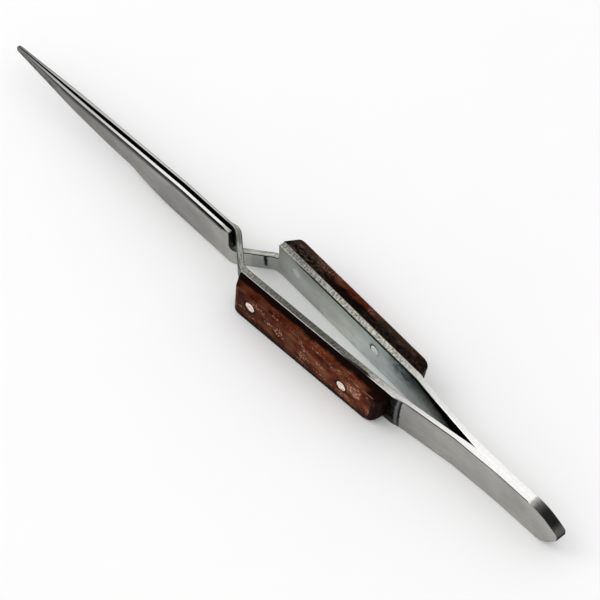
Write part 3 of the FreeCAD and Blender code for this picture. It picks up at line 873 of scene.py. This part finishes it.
def make_grip(name, side, materials):
    """One grip: a plate whose rim leans inward at both ends and is bevelled to the outer face.

    The outer face is crowned: it drops by the crown times the fourth power of the share of the
    half width that lies between a point and the middle.
    """
    soft = BEVEL_SOFTNESS
    rise = GRIP_THICKNESS - GRIP_BEVEL
    # Each level: height above the arm, distance inward all round. Both ends are also rounded over.
    rim = [
        (0, 0.08),
        (0.08, 0),
        (1.5, 0),
        (2.1, 0),
        (2.55, 0),
        (rise - soft, 0.02),
        (rise + 0.5 * soft, 0.6 * soft),
        (GRIP_THICKNESS - 0.5 * soft, GRIP_BEVEL - 0.4 * soft),
        (GRIP_THICKNESS, GRIP_BEVEL + soft),
    ]
    outlines = []
    for height, inset in rim:
        risen = height / GRIP_THICKNESS
        front = FRONT_SETBACK * risen + inset + rounding(height, FRONT_ROUND)
        back = GRIP_LENGTH - REAR_SETBACK * risen - inset - rounding(height, REAR_ROUND)
        upright = (WIDTH - 2 * inset) / WIDTH
        outlines.append(rounded([
            (front - FRONT_LEAN * upright, inset, 0.8 - inset / 2),
            (front, WIDTH - inset, 0.9 - inset / 2),
            (back, WIDTH - inset, 0.9 - inset / 2),
            (back - REAR_LEAN * upright, inset, 2.2 - inset),
        ], closed=True))
    counts = step_counts(outlines[1], GRIP_STEP)
    rings = np.stack([subdivided(outline, counts) for outline in outlines])
    levels = np.array(rim)[:, 0] / GRIP_THICKNESS

    def place(x, z, share):
        crown = CROWN * ((z - WIDTH / 2) / (WIDTH / 2)) ** 4
        return on_arm(side, x, share * (GRIP_THICKNESS - crown * (share > 0.99)), z)

    columns = np.arange(0.5, GRIP_LENGTH, GRIP_ROW)
    piece, kinds = plate(name, rings, levels, place, columns, GRIP_ROW)
    if side < 0:
        piece.data.flip_normals()
    slot = np.zeros(len(kinds), int)
    bevel_strip = 6
    slot[(kinds >= 0) & (kinds < bevel_strip)] = 1
    along = face_vectors(piece, "center")[:, 0] / MM + MIDDLE - GRIP_FRONT
    upward = face_vectors(piece, "normal")[:, 2] > 0.4
    # The upper edge near the rear takes a painted highlight.
    slot[(kinds == bevel_strip) & upward & (along > HIGHLIGHT_FROM) & (along < HIGHLIGHT_TO)] = 2
    cover(piece, materials, slot)
    shade_by_angle(piece, 30)
    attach(piece, "root")
    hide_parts(name)


def face_darkness(tree, x, y, mottle):
    """How dark the wood of the outer face is: it darkens to its outline, least along the top."""
    uneven = total(tree, y, spread(tree, mottle, 0.3, 0.7, -0.9, 0.9))
    low = spread(tree, uneven, 1.0, 3.0, 0.85, 0)
    high = spread(tree, uneven, 8.2, 9.2, 0, 0.5)
    start = spread(tree, x, 1.6, 4.6, 0.85, 0)
    end = spread(tree, total(tree, x, times(tree, y, 0.5)), 41.5, 44.5, 0, 0.9)
    return larger(tree, larger(tree, low, high), larger(tree, start, end))


def rim_darkness(tree, x, y, mottle, grain, rim_light):
    """How dark the wood of the rim is: dark at both ends and by the arm, where its border frays."""
    coarse = spread(tree, mottle, 0.3, 0.7, -0.4, 0.4)
    frayed = total(tree, coarse, spread(tree, grain, 0.3, 0.7, -0.2, 0.2))
    dark = spread(tree, total(tree, y, frayed), 1.4, 2.05, 0.98, rim_light)
    front = spread(tree, x, 9.5, 13.0, 0.92, 0)
    rear = spread(tree, x, 46.0, 47.3, 0, 0.96)
    return larger(tree, dark, larger(tree, front, rear))


def crack_distance(tree, moved):
    """How far a point is from the nearest crack, with cells about a millimetre wide and bent by noise."""
    spacing = {"Vector": moved, "Scale": (0.75, 1.3, 1)}
    spaced = node(tree, "ShaderNodeMapping", spacing).outputs["Vector"]
    waves = {"Vector": moved, "Scale": 1.3, "Detail": 3.0, "Roughness": 0.6}
    warp = node(tree, "ShaderNodeTexNoise", waves).outputs["Color"]
    bent = node(tree, "ShaderNodeVectorMath", {0: spaced, 1: warp}).outputs[0]
    cells = {"Vector": bent, "Scale": 1.0}
    return node(tree, "ShaderNodeTexVoronoi", cells, feature="DISTANCE_TO_EDGE").outputs["Distance"]


def grip_wood_material(name, side_name, on_face, shift, rim_light=0.0, smoke=0.0):
    """Varnished wood, mottled from near black to orange-brown, with pale flecks where the varnish broke,
    painted as glints.

    On the face it darkens to the outline; on the rim it is nearly black by the arm and red by the face.
    A smoked rim is greyer and dusty at both ends.
    """
    material, tree, shader = new_material(name)
    blank = blank_layout(tree)
    x, y = axis(tree, blank, "X"), axis(tree, blank, "Y")
    aside = {"Vector": blank, "Location": (shift, 0.37 * shift, 0)}
    moved = node(tree, "ShaderNodeMapping", aside).outputs["Vector"]
    grain = stretched_noise(tree, moved, (0.3, 2.4, 1), 6, 0.65)
    mottle = stretched_noise(tree, moved, (0.2, 0.42, 1), 5, 0.6)
    cloud = stretched_noise(tree, moved, (0.09, 0.3, 1), 2)
    warm = total(tree, times(tree, mottle, 0.6), times(tree, cloud, 0.4))
    tone = mixed(tree, spread(tree, warm, 0.41, 0.48, 0, 1), DEEP_RED, RED_BROWN)
    tone = mixed(tree, spread(tree, warm, 0.5, 0.6, 0, 1), tone, ORANGE_BROWN)
    haze = stretched_noise(tree, moved, (0.3, 0.14, 1), 2)
    tone = mixed(tree, spread(tree, haze, 0.48, 0.62, 0, 0.35), tone, HAZE)
    tone = mixed(tree, spread(tree, grain, 0.36, 0.46, 0.35, 0), tone, GRAIN)
    redder = spread(tree, y, 5.0, 7.5, 0, 1) if on_face else 1.0
    tone = mixed(tree, redder, tone, tinted(tree, tone, REDDER_TINT))
    if on_face:
        ageing = spread(tree, x, 2, 38, 0.7, 1.2)
        dark = face_darkness(tree, x, y, mottle)
    else:
        ageing = spread(tree, x, 9, 46, 0.7, 0.98)
        smoked = larger(tree, spread(tree, x, 16, 24, smoke, 0), spread(tree, x, 31, 37, 0, smoke))
        tone = mixed(tree, smoked, tone, SMOKED)
        dark = rim_darkness(tree, x, y, mottle, grain, rim_light)
    tone = tinted(tree, tone, grey(tree, ageing))
    tone = mixed(tree, dark, tone, NEARLY_BLACK)
    if smoke:
        dust = stretched_noise(tree, moved, (0.8, 1.5, 1), 5, 0.7)
        dusty = times(tree, spread(tree, dust, 0.46, 0.62, 0, 1), smoked, spread(tree, x, 24, 34, 1, 0.4))
        tone = mixed(tree, dusty, tone, DUST)

    sound = arithmetic(tree, "SUBTRACT", 1.0, dark)
    patch = stretched_noise(tree, moved, (0.16, 0.3, 1), 2)
    speck = stretched_noise(tree, moved, (2.2, 3.4, 1), 4, 0.8)
    from_crack = crack_distance(tree, moved)
    crack = spread(tree, from_crack, 0.03, 0.08, 1, 0)
    # Pale flecks where the varnish broke, painted as glints.
    broken_glint = times(
        tree,
        larger(tree, spread(tree, speck, 0.6, 0.63, 0, 1), crack),
        spread(tree, speck, 0.5, 0.54, 0, 1),
        spread(tree, patch, 0.53, 0.57, 0, 1),
        sound,
    )
    if not on_face:
        broken_glint = times(tree, broken_glint, 0.15 + 0.5 * smoke)
    colour = mixed(tree, broken_glint, tone, FLECK_GLINT)
    hairs = stretched_noise(tree, moved, (0.5, 7.0, 1), 2, 0.5)
    near_patch = spread(tree, patch, 0.49, 0.54, 0, 1)
    hair = times(tree, spread(tree, hairs, 0.66, 0.69, 0, 0.7), near_patch, sound)
    colour = mixed(tree, hair, colour, HAIR)
    if on_face:
        for place in ("front", "rear"):
            inset, height = RIVETS[(side_name, place)]
            ring = round_spot(tree, x, y, inset, height, HEAD_RADIUS + 0.05, HEAD_RADIUS + 0.4)
            colour = mixed(tree, ring, colour, SEAT_SHADOW)
        inset, height = RIVETS[(side_name, "rear")]
        beside_rear = round_spot(tree, x, y, inset + 3.9, height + 1.6, 1.2, 1.8)
        scored = times(tree, spread(tree, from_crack, 0.03, 0.1, 0.65, 0), beside_rear)
        colour = mixed(tree, scored, colour, SCORED)
    finish_with(tree, shader, colour, grain, 0.35, 0.55)
    emboss(tree, shader, speck, 0.4, 0.0001)
    shader.inputs["Specular IOR Level"].default_value = 0.01
    shader.inputs["Coat Weight"].default_value = 0.01
    shader.inputs["Coat Roughness"].default_value = 0.15
    return material


def edge_highlight_material(name):
    """Painted highlight on the grip's upper edge near its rear, pale in places."""
    material, tree, shader = new_material(name)
    highlight_marks = stretched_noise(tree, blank_layout(tree), (0.7, 2, 1), 4, 0.7)
    colour = mixed(tree, spread(tree, highlight_marks, 0.45, 0.58, 0, 1), HIGHLIGHT_DARK, HIGHLIGHT_PALE)
    finish_with(tree, shader, colour, highlight_marks, 0.35, 0.55)
    shader.inputs["Specular IOR Level"].default_value = 0.05
    return material


# Painted highlight along the grips' upper edge near the rear.
edge_highlight = edge_highlight_material("grip_upper_edge")
for side_name, side, shift, rim_light, smoke in (("far", 1, 40.0, 0.4, 0.8), ("near", -1, 0.0, 0.05, 0.0)):
    face = grip_wood_material(f"grip_face_{side_name}", side_name, True, shift)
    rim = grip_wood_material(f"grip_edge_{side_name}", side_name, False, shift, rim_light, smoke)
    make_grip(f"grip_{side_name}", side, [face, rim, edge_highlight])


# Rivets: soft metal pins that hold the grips to the arms. They are hammered over, ground flush with the
# grip's face, and have a low tail that stands on the arm's inner face.
SHANK_RADIUS = 0.8
HEAD_DEPTH = 0.6
HEAD_PROUD = 0.02
TAIL_RADIUS = 1.15
TAIL_HEIGHT = 0.2
FLUSH_TAIL_HEIGHT = 0.04
RIVET_STEPS = 48
HEAD_TONES = ((0.5, 0.24, 0.15), (1.0, 0.9, 0.84))
TAIL_TONES = ((0.5, 0.55, 0.56), (1.0, 1.0, 1.0))
WORN_TAIL_TONES = ((0.54, 0.57, 0.545), (0.62, 0.655, 0.625))


def rivet_material(name, tones, metallic):
    """Worn metal with scratches from filing."""
    material, tree, shader = new_material(name)
    scratches = stretched_noise(tree, object_place(tree), (1500, 1500, 3200), 5, 0.7)
    colour = mixed(tree, spread(tree, scratches, 0.4, 0.52, 0, 1), *tones)
    finish_with(tree, shader, colour, scratches, 0.3, 0.5)
    emboss(tree, shader, scratches, 0.5, 0.00004)
    shader.inputs["Metallic"].default_value = metallic
    return material


def make_rivet(side_name, side, place, tail_height, materials):
    """One rivet, turned about its axis: its profile's radius goes round with the angle.

    A point is at x = radius * cos(angle), z = radius * sin(angle) from the axis, and at its depth.
    Each row of the profile is (radius, depth), from the head to the tail.
    """
    name = f"rivet_{side_name}_{place}"
    top = GRIP_THICKNESS + HEAD_PROUD
    head_foot = GRIP_THICKNESS - HEAD_DEPTH
    foot = -ARM_THICKNESS
    body = np.array([
        (0.75 * HEAD_RADIUS, top - 0.01), (0.95 * HEAD_RADIUS, top - 0.04), (HEAD_RADIUS, top - 0.1),
        (HEAD_RADIUS, head_foot), (SHANK_RADIUS, head_foot), (SHANK_RADIUS, foot), (TAIL_RADIUS, foot),
        (TAIL_RADIUS, foot - 0.3 * tail_height), (0.85 * TAIL_RADIUS, foot - 0.8 * tail_height),
        (0.5 * TAIL_RADIUS, foot - tail_height),
    ])
    first_of_tail = 6
    angle = np.linspace(0, 2 * math.pi, RIVET_STEPS, endpoint=False)
    inset, height = RIVETS[(side_name, place)]
    x = inset + body[:, :1] * np.cos(angle)
    z = height + body[:, :1] * np.sin(angle)
    away = np.broadcast_to(body[:, 1:], x.shape)
    x = np.append(x, [inset, inset])
    z = np.append(z, [height, height])
    away = np.append(away, [top, foot - tail_height])
    space = on_arm(side, x, away, z)
    step = np.arange(RIVET_STEPS)
    after = np.roll(step, -1)
    last = (len(body) - 1) * RIVET_STEPS
    head_pole = np.full_like(step, len(body) * RIVET_STEPS)
    faces = ring_quads(len(body), RIVET_STEPS)[:, [0, 3, 2, 1]].tolist()
    faces += np.stack([head_pole, step, after], 1).tolist()
    faces += np.stack([head_pole + 1, last + after, last + step], 1).tolist()
    data = bpy.data.meshes.new(name)
    data.from_pydata((space * MM).tolist(), [], faces)
    if side < 0:
        data.flip_normals()
    piece = put_in_scene(name, data)
    slot = np.zeros(len(data.polygons), int)
    slot[first_of_tail * RIVET_STEPS : last] = 1
    slot[last + RIVET_STEPS :] = 1
    cover(piece, materials, slot)
    shade_by_angle(piece, 30)
    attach(piece, "root")
    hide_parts(name)


head_metal = rivet_material("rivet_head", HEAD_TONES, 0.75)
tail_metal = rivet_material("rivet_tail", TAIL_TONES, 0.1)
worn_tail = rivet_material("rivet_tail_worn", WORN_TAIL_TONES, 1.0)
for side_name, side in (("far", 1), ("near", -1)):
    for place in ("front", "rear"):
        flush = (side_name, place) == ("far", "front")
        tail = worn_tail if flush else tail_metal
        tail_height = FLUSH_TAIL_HEIGHT if flush else TAIL_HEIGHT
        make_rivet(side_name, side, place, tail_height, [head_metal, tail])


# Table and light: a white paper table top in an even white studio, with one large soft lamp overhead.
# None of it belongs to the tweezers.
FLOOR_SIZE = 6000.0
FLOOR_COLOURS = ((0.93, 0.93, 0.93), (0.95, 0.95, 0.95))
WORLD_LEVEL = 0.95
LAMP_SIZE = 500.0
LAMP_PLACE = (-420, -330, 700)
LAMP_POWER = 1.0


def make_table():
    """The table top, one flat face under the tweezers."""
    half = FLOOR_SIZE / 2 * MM
    corners = [(-half, -half, 0), (half, -half, 0), (half, half, 0), (-half, half, 0)]
    data = bpy.data.meshes.new("floor")
    data.from_pydata(corners, [], [(0, 1, 2, 3)])
    material, tree, shader = new_material("floor_paper")
    colour = mixed(tree, noise(tree, object_place(tree), 40), *FLOOR_COLOURS)
    tree.links.new(colour, shader.inputs["Base Color"])
    shader.inputs["Roughness"].default_value = 0.9
    shader.inputs["Specular IOR Level"].default_value = 0.0
    data.materials.append(material)
    put_in_scene("floor", data)


def make_light():
    """The white surroundings, a little dimmer as a light than as they are seen, and the lamp."""
    world = bpy.data.worlds.new("studio")
    world.use_nodes = True
    bpy.context.scene.world = world
    tree = world.node_tree
    path = node(tree, "ShaderNodeLightPath").outputs
    seen = larger(tree, path["Is Camera Ray"], path["Is Glossy Ray"])
    seen = larger(tree, seen, path["Is Transmission Ray"])
    background = tree.nodes["Background"]
    tree.links.new(spread(tree, seen, 0, 1, WORLD_LEVEL, 1.0), background.inputs["Strength"])
    background.inputs["Color"].default_value = (1, 1, 1, 1)

    lamp = bpy.data.lights.new("overhead_lamp", "AREA")
    lamp.shape = "DISK"
    lamp.size = LAMP_SIZE * MM
    lamp.energy = LAMP_POWER
    place = Vector(LAMP_PLACE) * MM
    aim = (-place).to_track_quat("-Z", "Y").to_matrix().to_4x4()
    put_in_scene("overhead_lamp", lamp).matrix_world = Matrix.Translation(place) @ aim


make_table()
make_light()


# Camera: it looks down on the tweezers as they lie, from the side of the near arm and behind it, from
# far enough away to show almost no perspective.
AZIMUTH = math.radians(47.93)
ELEVATION = math.radians(53.99)
ROLL = math.radians(0.17)
CAMERA_DISTANCE = 773.6
CAMERA_ASIDE = 4.67
CAMERA_RAISE = -3.55
SENSOR_WIDTH = 36.0
LENS = 228.9


def make_camera():
    """Place the camera by its azimuth, elevation and roll about the middle of the tweezers."""
    back = Vector((
        math.sin(AZIMUTH) * math.cos(ELEVATION),
        -math.cos(AZIMUTH) * math.cos(ELEVATION),
        math.sin(ELEVATION),
    ))
    level = Vector((math.cos(AZIMUTH), math.sin(AZIMUTH), 0))
    right = math.cos(ROLL) * level + math.sin(ROLL) * back.cross(level)
    up = back.cross(right)
    centre = Vector((0, 0, WIDTH / 2))
    place = centre + CAMERA_ASIDE * right + CAMERA_RAISE * up + CAMERA_DISTANCE * back
    data = bpy.data.cameras.new("camera")
    data.sensor_width = SENSOR_WIDTH
    data.lens = LENS
    data.clip_end = 10
    camera = put_in_scene("camera", data)
    camera.matrix_world = Matrix.Translation(place * MM) @ Matrix((right, up, back)).transposed().to_4x4()
    bpy.context.scene.camera = camera


make_camera()
bpy.context.scene.view_settings.view_transform = "Standard"
